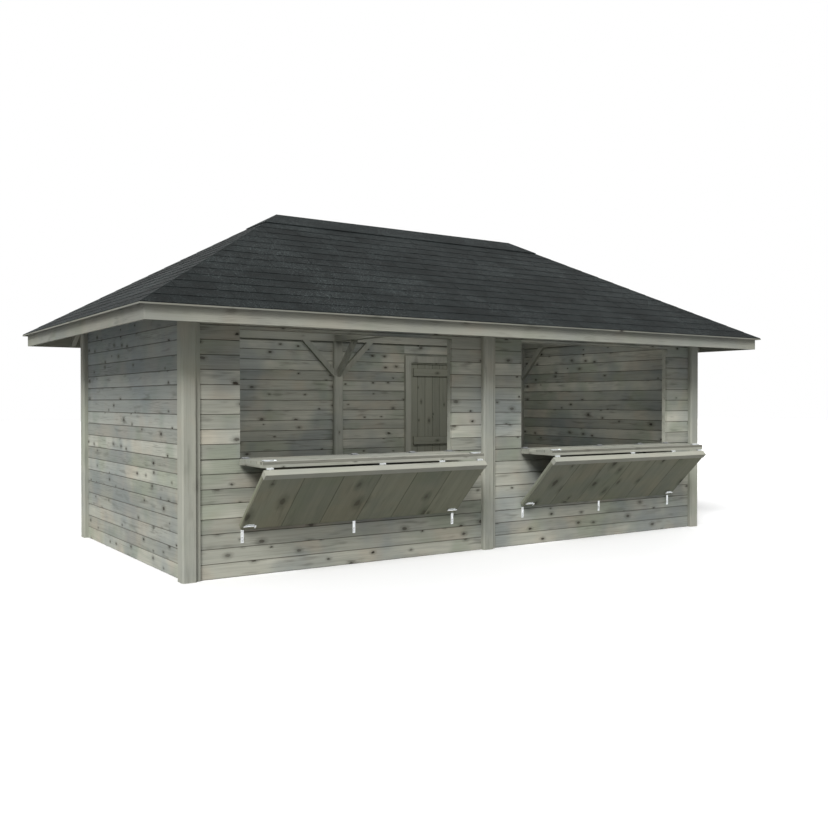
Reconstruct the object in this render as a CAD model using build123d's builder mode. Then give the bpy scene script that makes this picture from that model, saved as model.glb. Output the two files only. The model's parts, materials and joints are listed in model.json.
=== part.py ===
from build123d import *
import os
from math import cos, radians, sin, sqrt, tan

# A free-standing timber market hut with a hip roof, in millimetres.
# The origin is the middle of its footprint on the ground, +Z is up, +X runs to
# the right along the long front and the front, with its two hatches, faces -Y.

# Posts and plan
hut_length = 6000
hut_width = 3030
post_size = 120
post_height = 2130
post_chamfer = 12
plate_size = 120

# Walls
wall_thickness = 28
post_proud = 46
batten_width = 35
batten_thickness = 18
brace_depth = 65
brace_thickness = 44
brace_setback = 2
brace_reach = 426

# Hatch openings in the front wall
hatch_margin = 375
hatch_width = 2100
sill_height = 945
hatch_top = 1983
hatch_frame_width = 45

# Hatch leaves lapping over the opening: a counter hinged at the sill, and a support
# leaf hinged to the counter's outer edge, whose foot stands against the wall
leaf_thickness = 46
leaf_lap = 14
leaf_wall_gap = 18
counter_depth = 448
support_length = 663
support_end_gap = 3
support_ledge_width = 52
support_ledge_height = 8
support_angle = 135.3

# Hinges, as a plate and knuckles on each side of a pin
hinge_gap = 8
knuckle_radius = 7
pin_radius = 3.5
round_sides = 8
hinge_plate = 3
hinge_length = 60
hinge_knuckle = 20
hinge_reach = 50
hinge_link = 9
pin_play = 0.4
knuckle_play = 0.5
hinge_places = (-1010, 0, 600, 1010)

# Barrel bolts on the leaves, and hasps on the wall at the support leaves' feet
bolt_plate_length = 76
bolt_plate_width = 32
bolt_plate_thickness = 2
bolt_rod_radius = 5
bolt_rod_length = 110
bolt_end_inset = 65
bolt_edge_inset = 40
bolt_handle_length = 26
hasp_places = (-1035, 0, 1050)
hasp_low = 268
hasp_high = 372
hasp_width = 26
hasp_thickness = 4
hasp_slot_width = 8
hasp_slot_length = 34
staple_reach = 12

# Door in the back wall
door_frame_width = 83
door_frame_depth = 60
door_outer_width = 992
door_outer_height = 1986
door_gap = 5
door_ground_gap = 25
door_thickness = 22
ledge_thickness = 22
ledge_height = 98
ledge_inset = 46
ledge_heights = (170, 906, 1780)
door_knuckle_radius = 8
door_pin_radius = 5
strap_length = 420
strap_height = 40
strap_thickness = 3
strap_heights = (219, 1829)
handle_height = 1000
handle_inset = 60
handle_length = 160
handle_plate_width = 36
handle_reach = 42
handle_thickness = 14

# Roof
roof_pitch = 30
eave_reach = 427
fascia_thickness = 22
fascia_bottom = 1985
roofing_lip = 40
roofing_edge_top = 2109
roofing_rise = 16
boarding_rise = 23
rafter_rise = 110
rafter_thickness = 45
rafter_spacing = 594
long_side_rafters = 13
end_rafters = 5
hip_thickness = 45
ridge_board_thickness = 32
ridge_board_depth = 150
cap_wing = 225
cap_end = 225
cap_rise = 7

# Derived lines
half_length = hut_length / 2
half_width = hut_width / 2
slope = tan(radians(roof_pitch))
roof_run = half_width + eave_reach + roofing_lip
ridge_half = half_length - half_width
fascia_run = roof_run - roofing_lip
boarding_run = fascia_run - fascia_thickness
wall_face = half_width - post_proud
wall_back = wall_face - wall_thickness
end_wall_face = half_length - post_proud
post_axis_x = half_length - post_size / 2
post_axis_y = half_width - post_size / 2
hatch_centres = (
    -half_length + post_size + hatch_margin + hatch_width / 2,
    post_size / 2 + hatch_margin + hatch_width / 2,
)
leaf_width = hatch_width + 2 * leaf_lap
inner_x = half_length - post_size
inner_y = half_width - post_size
door_centre = (half_length - post_size / 2) / 2


def roof_height(inward):
    """Height of the roof surface at a run measured inward from the roofing edge."""
    return roofing_edge_top + inward * slope


def save(part, name):
    part.label = name
    export_step(part, f"parts/{name}.step")


def block(low, high):
    """A squared timber or board between two opposite corners."""
    with BuildPart() as timber:
        with BuildSketch(Plane.XY.offset(low[2])):
            with Locations(((low[0] + high[0]) / 2, (low[1] + high[1]) / 2)):
                Rectangle(high[0] - low[0], high[1] - low[1])
        extrude(amount=high[2] - low[2])
    return timber.part


def joined(pieces):
    """Pieces of one kind that share a node without touching."""
    return Compound(children=list(pieces))


def side_frames():
    """Origin and inward direction of the four eaves, in the order they are named."""
    return {
        "front": ((0, 0, 0), Vector(0, 1, 0), ridge_half),
        "back": ((0, 0, 0), Vector(0, -1, 0), ridge_half),
        "left": ((-ridge_half, 0, 0), Vector(1, 0, 0), 0),
        "right": ((ridge_half, 0, 0), Vector(-1, 0, 0), 0),
    }


def slope_slab(side, run, top_drop, rise, inner_gap=0, hip_gap=0):
    """A layer of one roof slope, mitred at the hips, as deep as its rise.

    top_drop is how far its top lies straight below the roof surface."""
    origin, inward, half_ridge = side_frames()[side]
    along = inward.cross(Vector(0, 0, 1))
    top_at_eave = roof_height(roof_run - run) - top_drop
    top_at_ridge = roof_height(roof_run) - top_drop
    mitre = hip_gap * sqrt(2)
    with BuildPart() as layer:
        with BuildSketch(Plane(origin=origin, x_dir=inward, z_dir=along)):
            with BuildLine():
                Polyline(
                    (-run, top_at_eave),
                    (0, top_at_ridge),
                    (0, top_at_ridge - rise),
                    (-run, top_at_eave - rise),
                    close=True,
                )
            make_face()
        extrude(amount=half_ridge + run, both=True)
        with BuildSketch(Plane(origin=origin, x_dir=along, z_dir=(0, 0, 1))):
            with BuildLine():
                outer = half_ridge + run - mitre
                inner = half_ridge + inner_gap - mitre
                if inner > 0:
                    top = [(inner, -inner_gap), (-inner, -inner_gap)]
                else:
                    top = [(0, outer - run)]
                Polyline((-outer, -run), (outer, -run), *top, close=True)
            make_face()
        extrude(amount=2 * roofing_edge_top, mode=Mode.INTERSECT)
    return layer.part


os.makedirs("parts", exist_ok=True)

# Posts
for row, y in (("front_posts", -post_axis_y), ("back_posts", post_axis_y)):
    with BuildPart() as posts:
        with BuildSketch():
            with Locations((-post_axis_x, y), (0, y), (post_axis_x, y)):
                Rectangle(post_size, post_size)
        extrude(amount=post_height)
        chamfer(posts.edges().filter_by(Axis.Z), length=post_chamfer)
    save(posts.part, row)

# Wall plates on the posts, and the tie beam over the middle pair
with BuildPart() as long_plates:
    with BuildSketch(Plane.XY.offset(post_height)):
        with Locations((0, -post_axis_y), (0, post_axis_y)):
            Rectangle(hut_length, post_size)
    extrude(amount=plate_size)
save(long_plates.part, "long_wall_plates")

with BuildPart() as end_plates:
    with BuildSketch(Plane.XY.offset(post_height)):
        with Locations((-post_axis_x, 0), (post_axis_x, 0)):
            Rectangle(post_size, hut_width - 2 * post_size)
    extrude(amount=plate_size)
save(end_plates.part, "end_wall_plates")

with BuildPart() as tie_beam:
    with BuildSketch(Plane.XY.offset(post_height)):
        Rectangle(post_size, hut_width - 2 * post_size)
    extrude(amount=plate_size)
save(tie_beam.part, "tie_beam")


def brace(post_face, direction):
    """A slanting brace from a post face up to the underside of the timber above.

    direction is the way it leans."""
    lean = Vector(*direction)
    up = Vector(0, 0, 1)
    width = brace_depth * sqrt(2)
    with BuildPart() as strut:
        with BuildSketch(Plane(origin=post_face, x_dir=lean, z_dir=lean.cross(up))):
            with BuildLine():
                Polyline(
                    (0, post_height - brace_reach),
                    (brace_reach, post_height),
                    (brace_reach - width, post_height),
                    (0, post_height - brace_reach + width),
                    close=True,
                )
            make_face()
        extrude(amount=brace_thickness / 2, both=True)
    return strut.part


back_brace_y = inner_y + brace_setback + brace_thickness / 2
end_brace_x = inner_x + brace_setback + brace_thickness / 2
back_braces = [
    brace((-inner_x, back_brace_y, 0), (1, 0, 0)),
    brace((-post_size / 2, back_brace_y, 0), (-1, 0, 0)),
    brace((post_size / 2, back_brace_y, 0), (1, 0, 0)),
    brace((inner_x, back_brace_y, 0), (-1, 0, 0)),
]
cross_braces = [
    brace((x, y, 0), (0, 1 if y < 0 else -1, 0))
    for x in (-end_brace_x, 0, end_brace_x)
    for y in (-inner_y, inner_y)
]
save(joined(back_braces + cross_braces), "braces")

# Walls, set between the posts
bays = {"left": (-inner_x, -post_size / 2), "right": (post_size / 2, inner_x)}
front_low, front_high = -wall_face, -wall_back
over_hatches = []
hatch_frames = []
cover_battens = []
for (bay, (bay_low, bay_high)), centre in zip(bays.items(), hatch_centres):
    hatch_low = centre - hatch_width / 2
    hatch_high = centre + hatch_width / 2
    save(block((bay_low, front_low, 0), (bay_high, front_high, sill_height)), f"front_wall_{bay}_lower")
    beside = [
        block((bay_low, front_low, sill_height), (hatch_low, front_high, post_height)),
        block((hatch_high, front_low, sill_height), (bay_high, front_high, post_height)),
    ]
    save(joined(beside), f"front_wall_{bay}_beside_hatch")
    over_hatches.append(
        block((hatch_low, front_low, hatch_top), (hatch_high, front_high, post_height))
    )
    cover_battens.append(
        block((bay_low, front_low - batten_thickness, 0), (bay_low + batten_width, front_low, post_height))
    )
    with BuildPart() as hatch_frame:
        frame_height = hatch_top - sill_height + 2 * hatch_frame_width
        with BuildSketch(Plane.XZ.offset(-front_high)):
            with Locations((centre, (sill_height + hatch_top) / 2)):
                Rectangle(hatch_width + 2 * hatch_frame_width, frame_height)
                Rectangle(hatch_width, hatch_top - sill_height, mode=Mode.SUBTRACT)
        extrude(amount=-(wall_back - inner_y))
    hatch_frames.append(hatch_frame.part)
save(joined(over_hatches), "front_wall_over_hatches")
save(joined(hatch_frames), "hatch_frames")
save(joined(cover_battens), "cover_battens")

door_low = door_centre - door_outer_width / 2
door_high = door_centre + door_outer_width / 2
save(block((-inner_x, wall_back, 0), (-post_size / 2, wall_face, post_height)), "back_wall_left")
beside_door = [
    block((post_size / 2, wall_back, 0), (door_low, wall_face, post_height)),
    block((door_high, wall_back, 0), (inner_x, wall_face, post_height)),
]
save(joined(beside_door), "back_wall_beside_door")
save(
    block((door_low, wall_back, door_outer_height), (door_high, wall_face, post_height)),
    "back_wall_over_door",
)
for end, sign in (("left_wall", -1), ("right_wall", 1)):
    faces = sorted((sign * end_wall_face, sign * (end_wall_face - wall_thickness)))
    save(block((faces[0], -inner_y, 0), (faces[1], inner_y, post_height)), end)

# Door frame and ledged door in the back wall
with BuildPart() as door_frame:
    with BuildSketch(Plane.XZ.offset(-wall_face)):
        with Locations((door_centre, door_outer_height / 2)):
            Rectangle(door_outer_width, door_outer_height)
        opening_height = door_outer_height - door_frame_width
        with Locations((door_centre, opening_height / 2)):
            Rectangle(door_outer_width - 2 * door_frame_width, opening_height, mode=Mode.SUBTRACT)
    extrude(amount=door_frame_depth)
save(door_frame.part, "door_frame")

door_width = door_outer_width - 2 * door_frame_width - 2 * door_gap
door_top = door_outer_height - door_frame_width - door_gap
with BuildPart() as door_leaf:
    with BuildSketch(Plane.XZ.offset(-wall_face)):
        with Locations((door_centre, (door_top + door_ground_gap) / 2)):
            Rectangle(door_width, door_top - door_ground_gap)
    extrude(amount=door_thickness)
    with BuildSketch(Plane.XZ.offset(-wall_face + door_thickness)):
        with Locations([(door_centre, height) for height in ledge_heights]):
            Rectangle(door_width - 2 * ledge_inset, ledge_height)
    extrude(amount=ledge_thickness)
save(door_leaf.part, "door_leaf")

door_pin_x = door_centre + door_width / 2 + door_gap / 2
door_pin_y = wall_face + door_knuckle_radius
with BuildPart() as door_hinge_plates:
    for height in strap_heights:
        with BuildSketch(Plane.XY.offset(height - strap_height)):
            with Locations((door_pin_x, door_pin_y)):
                Circle(door_pin_radius)
        extrude(amount=2 * strap_height)
        with BuildSketch(Plane.XY.offset(height - strap_height)):
            with Locations((door_pin_x, door_pin_y)):
                Circle(door_knuckle_radius)
            with Locations((door_pin_x + strap_height / 2, wall_face + strap_thickness / 2)):
                Rectangle(strap_height, strap_thickness)
        extrude(amount=strap_height / 2 - 1)
save(door_hinge_plates.part, "door_hinge_plates")

with BuildPart() as door_straps:
    for height in strap_heights:
        with BuildSketch(Plane.XY.offset(height - strap_height / 2)):
            with Locations((door_pin_x, door_pin_y)):
                Circle(door_knuckle_radius)
            with Locations((door_pin_x - strap_length / 2, wall_face + strap_thickness / 2)):
                Rectangle(strap_length, strap_thickness)
            with Locations((door_pin_x, door_pin_y)):
                Circle(door_pin_radius + knuckle_play, mode=Mode.SUBTRACT)
        extrude(amount=strap_height)

# A pull handle: a plate, and a grip bent out from it
handle_x = door_centre - door_width / 2 + handle_inset
with BuildPart() as door_handle:
    with BuildSketch(Plane.XZ.offset(-wall_face)):
        with Locations((handle_x, handle_height)):
            Rectangle(handle_plate_width, handle_length + handle_plate_width)
    extrude(amount=-strap_thickness)
    with BuildSketch(Plane(origin=(handle_x, wall_face, handle_height), x_dir=(0, 1, 0), z_dir=(-1, 0, 0))):
        with Locations((handle_reach / 2, 0)):
            Rectangle(handle_reach, handle_length)
        gap_reach = handle_reach - handle_thickness
        with Locations((gap_reach / 2, 0)):
            Rectangle(gap_reach, handle_length - 2 * handle_thickness, mode=Mode.SUBTRACT)
    extrude(amount=handle_thickness / 2, both=True)
save(joined([door_straps.part, door_handle.part]), "door_fittings")

# Hatches
counter_pin_y = -(wall_face + leaf_wall_gap - hinge_gap)
counter_pin_z = sill_height + hinge_gap
counter_outer = counter_pin_y - hinge_gap - counter_depth
support_pin_y = counter_outer - hinge_gap
support_pin_z = sill_height - leaf_thickness - hinge_gap
angle = radians(support_angle)


def on_support(u, v):
    """A point of the support leaf, u along it from its pin and v off its hinge face."""
    outward = u * cos(angle) + v * sin(angle)
    up = -u * sin(angle) + v * cos(angle)
    return (-support_pin_y + outward, support_pin_z + up)


def hinge_half(pin, along_leaf, off_leaf, with_pin):
    """One half of a hinge: its plate lies on the leaf's hinge face, clear of the pin."""
    across = Vector(*along_leaf).cross(Vector(*off_leaf))
    middle = Plane(origin=pin, x_dir=along_leaf, z_dir=across)
    plate_middle = ((hinge_link + hinge_reach) / 2, hinge_gap - hinge_plate / 2)
    link_low = knuckle_radius / 2
    if with_pin:
        starts = (-hinge_length / 2, hinge_knuckle / 2)
        length = (hinge_length - hinge_knuckle) / 2
    else:
        starts = (-hinge_knuckle / 2 + knuckle_play,)
        length = hinge_knuckle - 2 * knuckle_play
    with BuildPart() as half:
        with BuildSketch(middle.offset(-hinge_length / 2)):
            with Locations(plate_middle):
                Rectangle(hinge_reach - hinge_link, hinge_plate)
            if with_pin:
                RegularPolygon(pin_radius, round_sides)
        extrude(amount=hinge_length)
        for start in starts:
            with BuildSketch(middle.offset(start)):
                RegularPolygon(knuckle_radius, round_sides)
                with Locations((hinge_link / 2, (link_low + hinge_gap) / 2)):
                    Rectangle(hinge_link, hinge_gap - link_low)
                if not with_pin:
                    bore = pin_radius + pin_play
                    RegularPolygon(bore, round_sides, major_radius=False, mode=Mode.SUBTRACT)
            extrude(amount=length)
    return half.part


def barrel_bolt(place, along, face):
    """A sliding bolt on a plate: along points to the leaf's end, face off the leaf."""
    base = Plane(origin=place, x_dir=along, z_dir=face)
    rod_middle = bolt_plate_thickness + bolt_rod_radius
    rod_start = base.location.position + base.z_dir * rod_middle - base.x_dir * bolt_rod_length / 2
    with BuildPart() as bolt:
        with BuildSketch(base):
            Rectangle(bolt_plate_length, bolt_plate_width)
        extrude(amount=bolt_plate_thickness)
        with BuildSketch(Plane(origin=rod_start, x_dir=base.y_dir, z_dir=base.x_dir)):
            RegularPolygon(bolt_rod_radius, round_sides, major_radius=False)
        extrude(amount=bolt_rod_length)
        with BuildSketch(base.offset(bolt_plate_thickness)):
            with Locations((bolt_rod_radius - bolt_rod_length / 2, bolt_handle_length / 2)):
                Rectangle(2 * bolt_rod_radius, bolt_handle_length)
        extrude(amount=2 * bolt_rod_radius)
    return bolt.part


def leaf_bolts(centre, edge_point, face):
    """The two bolts of a leaf, whose ends slide out past the leaf's ends."""
    reach = leaf_width / 2 - bolt_end_inset
    return [
        barrel_bolt((centre + end * reach, *edge_point), (end, 0, 0), face)
        for end in (-1, 1)
    ]


def hasp(x):
    """A slotted strap on the wall with a staple through it."""
    face = Plane(origin=(x, -wall_face, hasp_low), x_dir=(1, 0, 0), z_dir=(0, -1, 0))
    slot_middle = (0, hasp_width / 2 + hasp_slot_length / 2)
    with BuildPart() as strap:
        with BuildSketch(face):
            with Locations((0, (hasp_high - hasp_low) / 2)):
                Rectangle(hasp_width, hasp_high - hasp_low)
            with Locations(slot_middle):
                Rectangle(hasp_slot_width, hasp_slot_length, mode=Mode.SUBTRACT)
        extrude(amount=hasp_thickness)
        with BuildSketch(face):
            with Locations(slot_middle):
                Rectangle(hasp_slot_width, hasp_slot_length / 2)
        extrude(amount=staple_reach)
    return strap.part


inward = (0, 1, 0)
outward = (0, -1, 0)
down = (0, 0, -1)
up = (0, 0, 1)
along_support = (0, -cos(angle), -sin(angle))
off_support = (0, -sin(angle), cos(angle))
board_face = hinge_gap + leaf_thickness
ledge_face = board_face + support_ledge_height
support_end = support_end_gap + support_length

wall_fittings = []
for bay, centre in zip(bays, hatch_centres):
    with BuildPart() as counter:
        with BuildSketch(Plane.XY.offset(sill_height)):
            with Locations((centre, counter_outer + counter_depth / 2)):
                Rectangle(leaf_width, counter_depth)
        extrude(amount=-leaf_thickness)
    save(counter.part, f"{bay}_counter")

    with BuildPart() as support:
        with BuildSketch(Plane(origin=(centre, 0, 0), x_dir=outward, z_dir=(-1, 0, 0))):
            with BuildLine():
                Polyline(
                    on_support(support_end_gap, hinge_gap),
                    on_support(support_end, hinge_gap),
                    on_support(support_end, board_face),
                    on_support(support_end_gap + support_ledge_width, board_face),
                    on_support(support_end_gap + support_ledge_width, ledge_face),
                    on_support(support_end_gap, ledge_face),
                    close=True,
                )
            make_face()
        extrude(amount=leaf_width / 2, both=True)
    save(support.part, f"{bay}_support_leaf")

    counter_pins = [(centre + place, counter_pin_y, counter_pin_z) for place in hinge_places]
    support_pins = [(centre + place, support_pin_y, support_pin_z) for place in hinge_places]
    wall_fittings += [hinge_half(pin, inward, down, True) for pin in counter_pins]
    wall_fittings += [hasp(centre + place) for place in hasp_places]
    counter_halves = [hinge_half(pin, outward, down, False) for pin in counter_pins]
    fold_halves = [hinge_half(pin, inward, up, True) for pin in support_pins]
    counter_bolts = leaf_bolts(centre, (counter_outer + bolt_edge_inset, sill_height), up)
    save(joined(counter_halves + fold_halves + counter_bolts), f"{bay}_counter_fittings")

    support_halves = [hinge_half(pin, along_support, off_support, False) for pin in support_pins]
    bolt_out, bolt_up = on_support(support_end - bolt_edge_inset, board_face)
    support_bolts = leaf_bolts(centre, (-bolt_out, bolt_up), off_support)
    save(joined(support_halves + support_bolts), f"{bay}_support_fittings")
save(joined(wall_fittings), "wall_fittings")

# Roof
for side in side_frames():
    save(slope_slab(side, roof_run, 0, roofing_rise), f"roofing_{side}")
    save(slope_slab(side, boarding_run, roofing_rise, boarding_rise), f"roof_boarding_{side}")


# The ring of wall plates, cut out of the rafters that bear on it
with BuildPart() as plate_ring:
    with BuildSketch(Plane.XY.offset(post_height)):
        Rectangle(hut_length, hut_width)
        Rectangle(2 * inner_x, 2 * inner_y, mode=Mode.SUBTRACT)
    extrude(amount=plate_size)

frame_drop = roofing_rise + boarding_rise
ridge_gap = ridge_board_thickness / 2
hip_gap = hip_thickness / 2 + 1
rafters = []
for side, (origin, inward_way, half_ridge) in side_frames().items():
    along = inward_way.cross(Vector(0, 0, 1))
    count = long_side_rafters if half_ridge else end_rafters
    slab = slope_slab(side, boarding_run, frame_drop, rafter_rise, ridge_gap, hip_gap)
    with BuildPart() as rafter_set:
        add(slab)
        with BuildSketch(Plane(origin=origin, x_dir=along, z_dir=(0, 0, 1))):
            with Locations([((n - count // 2) * rafter_spacing, -roof_run / 2) for n in range(count)]):
                Rectangle(rafter_thickness, roof_run)
        extrude(amount=2 * roofing_edge_top, mode=Mode.INTERSECT)
        add(plate_ring.part, mode=Mode.SUBTRACT)
    rafters.append(rafter_set.part)
save(joined(rafters), "rafters")


def fascia(side):
    """A fascia board, mitred at the corners, with its top cut to the roof's slope."""
    origin, inward_way, half_ridge = side_frames()[side]
    along = inward_way.cross(Vector(0, 0, 1))
    outer = half_ridge + fascia_run
    inner = half_ridge + boarding_run
    with BuildPart() as board:
        with BuildSketch(Plane(origin=origin, x_dir=inward_way, z_dir=along)):
            with BuildLine():
                Polyline(
                    (-fascia_run, fascia_bottom),
                    (-boarding_run, fascia_bottom),
                    (-boarding_run, roof_height(roof_run - boarding_run) - roofing_rise),
                    (-fascia_run, roof_height(roof_run - fascia_run) - roofing_rise),
                    close=True,
                )
            make_face()
        extrude(amount=outer, both=True)
        with BuildSketch(Plane(origin=origin, x_dir=along, z_dir=(0, 0, 1))):
            with BuildLine():
                Polyline(
                    (-outer, -fascia_run),
                    (outer, -fascia_run),
                    (inner, -boarding_run),
                    (-inner, -boarding_run),
                    close=True,
                )
            make_face()
        extrude(amount=2 * roofing_edge_top, mode=Mode.INTERSECT)
    return board.part


save(joined([fascia("front"), fascia("back")]), "long_fascias")
save(joined([fascia("left"), fascia("right")]), "end_fascias")

# Ridge board, hip rafters and ridge cap
frame_peak = roof_height(roof_run) - frame_drop
with BuildPart() as ridge_board:
    with BuildSketch(Plane.YZ):
        with BuildLine():
            Polyline(
                (-ridge_gap, frame_peak - ridge_board_depth),
                (ridge_gap, frame_peak - ridge_board_depth),
                (ridge_gap, frame_peak - ridge_gap * slope),
                (0, frame_peak),
                (-ridge_gap, frame_peak - ridge_gap * slope),
                close=True,
            )
        make_face()
    extrude(amount=ridge_half, both=True)
save(ridge_board.part, "ridge_board")

hip_fall = slope / sqrt(2)
hip_top = frame_peak - hip_thickness / 2 * hip_fall
hip_end = boarding_run * sqrt(2)


def hip_rafter(way_x, way_y):
    """A hip rafter from the ridge's end down to an eaves corner."""
    along_hip = Vector(way_x, way_y, 0).normalized()
    ridge_end = (way_x * ridge_half, 0, 0)
    with BuildPart() as hip:
        with BuildSketch(Plane(origin=ridge_end, x_dir=along_hip, z_dir=along_hip.cross(Vector(0, 0, 1)))):
            with BuildLine():
                Polyline(
                    (hip_gap, hip_top - hip_gap * hip_fall),
                    (hip_end, hip_top - hip_end * hip_fall),
                    (hip_end, hip_top - hip_end * hip_fall - rafter_rise),
                    (hip_gap, hip_top - hip_gap * hip_fall - rafter_rise),
                    close=True,
                )
            make_face()
        extrude(amount=hip_thickness / 2, both=True)
        with BuildSketch():
            Rectangle(2 * (ridge_half + boarding_run), 2 * boarding_run)
        extrude(amount=2 * roofing_edge_top, mode=Mode.INTERSECT)
        add(plate_ring.part, mode=Mode.SUBTRACT)
    return hip.part


save(joined([hip_rafter(x, y) for x in (-1, 1) for y in (-1, 1)]), "hip_rafters")

with BuildPart() as ridge_cap:
    for side in side_frames():
        add(slope_slab(side, roof_run, -cap_rise, cap_rise))
    with BuildSketch():
        Rectangle(2 * (ridge_half + cap_end), 2 * cap_wing)
    extrude(amount=2 * roofing_edge_top, mode=Mode.INTERSECT)
save(ridge_cap.part, "ridge_cap")
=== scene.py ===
import json
import random
from math import atan2, ceil, cos, pi, radians, sin

import bmesh
import bpy
from bpy.props import FloatProperty, FloatVectorProperty, IntProperty, PointerProperty
from mathutils import Euler, Matrix, Vector


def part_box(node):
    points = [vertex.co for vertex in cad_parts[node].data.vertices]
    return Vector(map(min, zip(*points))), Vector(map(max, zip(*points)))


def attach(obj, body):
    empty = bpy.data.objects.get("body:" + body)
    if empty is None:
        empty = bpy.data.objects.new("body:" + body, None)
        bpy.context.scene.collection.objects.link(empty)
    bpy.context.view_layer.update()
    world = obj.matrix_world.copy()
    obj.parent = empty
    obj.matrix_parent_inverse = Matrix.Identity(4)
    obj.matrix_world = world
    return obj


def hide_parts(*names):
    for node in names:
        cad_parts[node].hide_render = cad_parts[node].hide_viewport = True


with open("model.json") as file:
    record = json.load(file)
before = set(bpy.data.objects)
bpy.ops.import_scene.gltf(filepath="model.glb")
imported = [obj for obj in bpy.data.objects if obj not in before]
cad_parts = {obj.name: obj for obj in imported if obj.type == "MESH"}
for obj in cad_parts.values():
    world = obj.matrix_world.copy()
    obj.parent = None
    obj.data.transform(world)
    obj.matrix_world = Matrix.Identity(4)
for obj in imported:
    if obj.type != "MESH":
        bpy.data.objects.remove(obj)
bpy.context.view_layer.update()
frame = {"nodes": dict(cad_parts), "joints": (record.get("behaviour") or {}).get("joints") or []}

bl_info = {
    "name": "Market hut looks",
    "version": (1, 0, 0),
    "blender": (4, 5, 0),
    "location": "View3D > Sidebar > Hut",
    "description": "Boards, shingles, fittings and finishes of a timber market hut",
    "category": "Add Mesh",
}

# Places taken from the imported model, in metres
NODES = frame["nodes"]
JOINTS = {joint["name"]: joint for joint in frame["joints"]}
BAYS = ("left", "right")
SLOPES = ("front", "back", "left", "right")
WALL_LOW, WALL_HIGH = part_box("front_wall_left_lower")
RIGHT_WALL_LOW, RIGHT_WALL_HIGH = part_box("front_wall_right_lower")
OVER_LOW, OVER_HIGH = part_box("front_wall_over_hatches")
BACK_LOW, BACK_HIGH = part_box("back_wall_left")
BACK_RIGHT_LOW, BACK_RIGHT_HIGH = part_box("back_wall_beside_door")
DOOR_HEAD_LOW, DOOR_HEAD_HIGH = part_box("back_wall_over_door")
END_LOW, END_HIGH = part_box("left_wall")
ROOF_LOW, ROOF_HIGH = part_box("roofing_front")
BOARDING_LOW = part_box("roof_boarding_front")[0]
DOOR_LOW, DOOR_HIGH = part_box("door_leaf")
COUNTERS = {bay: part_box(f"{bay}_counter") for bay in BAYS}
SUPPORTS = {bay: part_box(f"{bay}_support_leaf") for bay in BAYS}

WALL_TOP = BACK_HIGH.z
WALL_THICKNESS = BACK_HIGH.y - BACK_LOW.y
END_MIDDLE = -(END_LOW.x + END_HIGH.x) / 2
DOOR_BOARD = (DOOR_HIGH.y - DOOR_LOW.y) / 2
# The roof's faces rise to the ridge from the top of the roofing's upright edge at the eaves
ROOFING_EDGE = 0.016
ROOF_EDGE_TOP = ROOF_LOW.z + ROOFING_EDGE
ROOF_RUN = -ROOF_LOW.y
RIDGE_HALF = -ROOF_LOW.x - ROOF_RUN
RIDGE_HEIGHT = ROOF_HIGH.z
ROOF_PITCH = atan2(RIDGE_HEIGHT - ROOF_EDGE_TOP, ROOF_RUN)
# Two places count as one when they are closer than this
TOUCH = 0.001


def linear(red, green, blue):
    """The linear colour of three screen values from 11 to 255."""
    return tuple((value / 255 / 1.055 + 0.0521) ** 2.4 for value in (red, green, blue))


def size_property(label, default, text):
    return FloatProperty(name=label, description=text, default=default, min=0, unit="LENGTH")


def colour_property(label, default, text):
    return FloatVectorProperty(
        name=label, description=text, default=default, size=3, subtype="COLOR", min=0, max=1
    )


class HutSizes(bpy.types.PropertyGroup):
    """Sizes of what is added to the hut's timbers."""

    board_cover: size_property("Board cover", 0.11834, "Height that one wall board covers")
    board_chamfer: size_property("Board chamfer", 0.005, "Width of the chamfer on each edge of a wall board")
    leaf_chamfer: size_property("Leaf chamfer", 0.002, "Width of the chamfer on leaf and door boards")
    counter_board: size_property("Counter board", 0.022, "Thickness of the boards on the counters")
    leaf_board: size_property("Leaf board", 0.020, "Thickness of the boards on the support leaves")
    leaf_frame: size_property("Leaf frame", 0.060, "Width of the frame behind the leaves' boards")
    roof_board: size_property("Roof board", 0.118, "Width that one roof board covers")
    roof_board_thickness: size_property("Roof board thickness", 0.0195, "Thickness of the roof boards")
    roof_board_gap: size_property("Roof board gap", 0.003, "Gap between two roof boards")
    shingle_course: size_property("Shingle course", 0.145, "Length of a shingle left uncovered")
    shingle_tab: size_property("Shingle tab", 0.333, "Width of one shingle tab")
    shingle_slot: size_property("Shingle slot", 0.004, "Gap between two tabs")
    shingle_butt: size_property("Shingle butt", 0.0028, "Height of a tab's lower edge")
    stop_width: size_property("Door stop width", 0.018, "Width of the strips that the door shuts against")
    stop_depth: size_property("Door stop depth", 0.014, "Depth of the strips that the door shuts against")
    screw_radius: size_property("Screw radius", 0.0042, "Radius of a screw's head")
    screw_height: size_property("Screw height", 0.0016, "Height of a screw's head")
    seed: IntProperty(name="Seed", description="Seed of every random draw", default=7)


class HutColours(bpy.types.PropertyGroup):
    """Colours of the hut's finishes."""

    pale: colour_property("Pale wood", linear(194, 193, 179), "Lightest weathered wood")
    grey: colour_property("Grey wood", linear(154, 156, 145), "Common weathered wood")
    dark: colour_property("Dark wood", linear(84, 84, 76), "Dark lines of the grain")
    # The cold colour also paints the shade of the eaves high on the outside of the end walls.
    cold: colour_property("Cold wood", linear(124, 134, 138), "Blue-grey patches")
    warm: colour_property("Warm wood", linear(180, 170, 152), "Warm patches")
    green: colour_property("Green wood", linear(144, 153, 134), "Green-grey patches")
    # The knot colour also paints the shadow at the upper and lower edges of the door's ledges.
    knot: colour_property("Knot", linear(50, 44, 36), "Knots, open checks and the joints between boards")
    roofing: colour_property("Roofing", linear(21, 26, 26), "Grit of the shingles")
    roofing_light: colour_property("Light roofing", linear(98, 104, 104), "Light grains of the shingles")
    zinc: colour_property("Zinc", linear(226, 229, 230), "Zinc plated steel")


def sizes():
    return bpy.context.scene.hut_sizes


def colours():
    return bpy.context.scene.hut_colours


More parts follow.
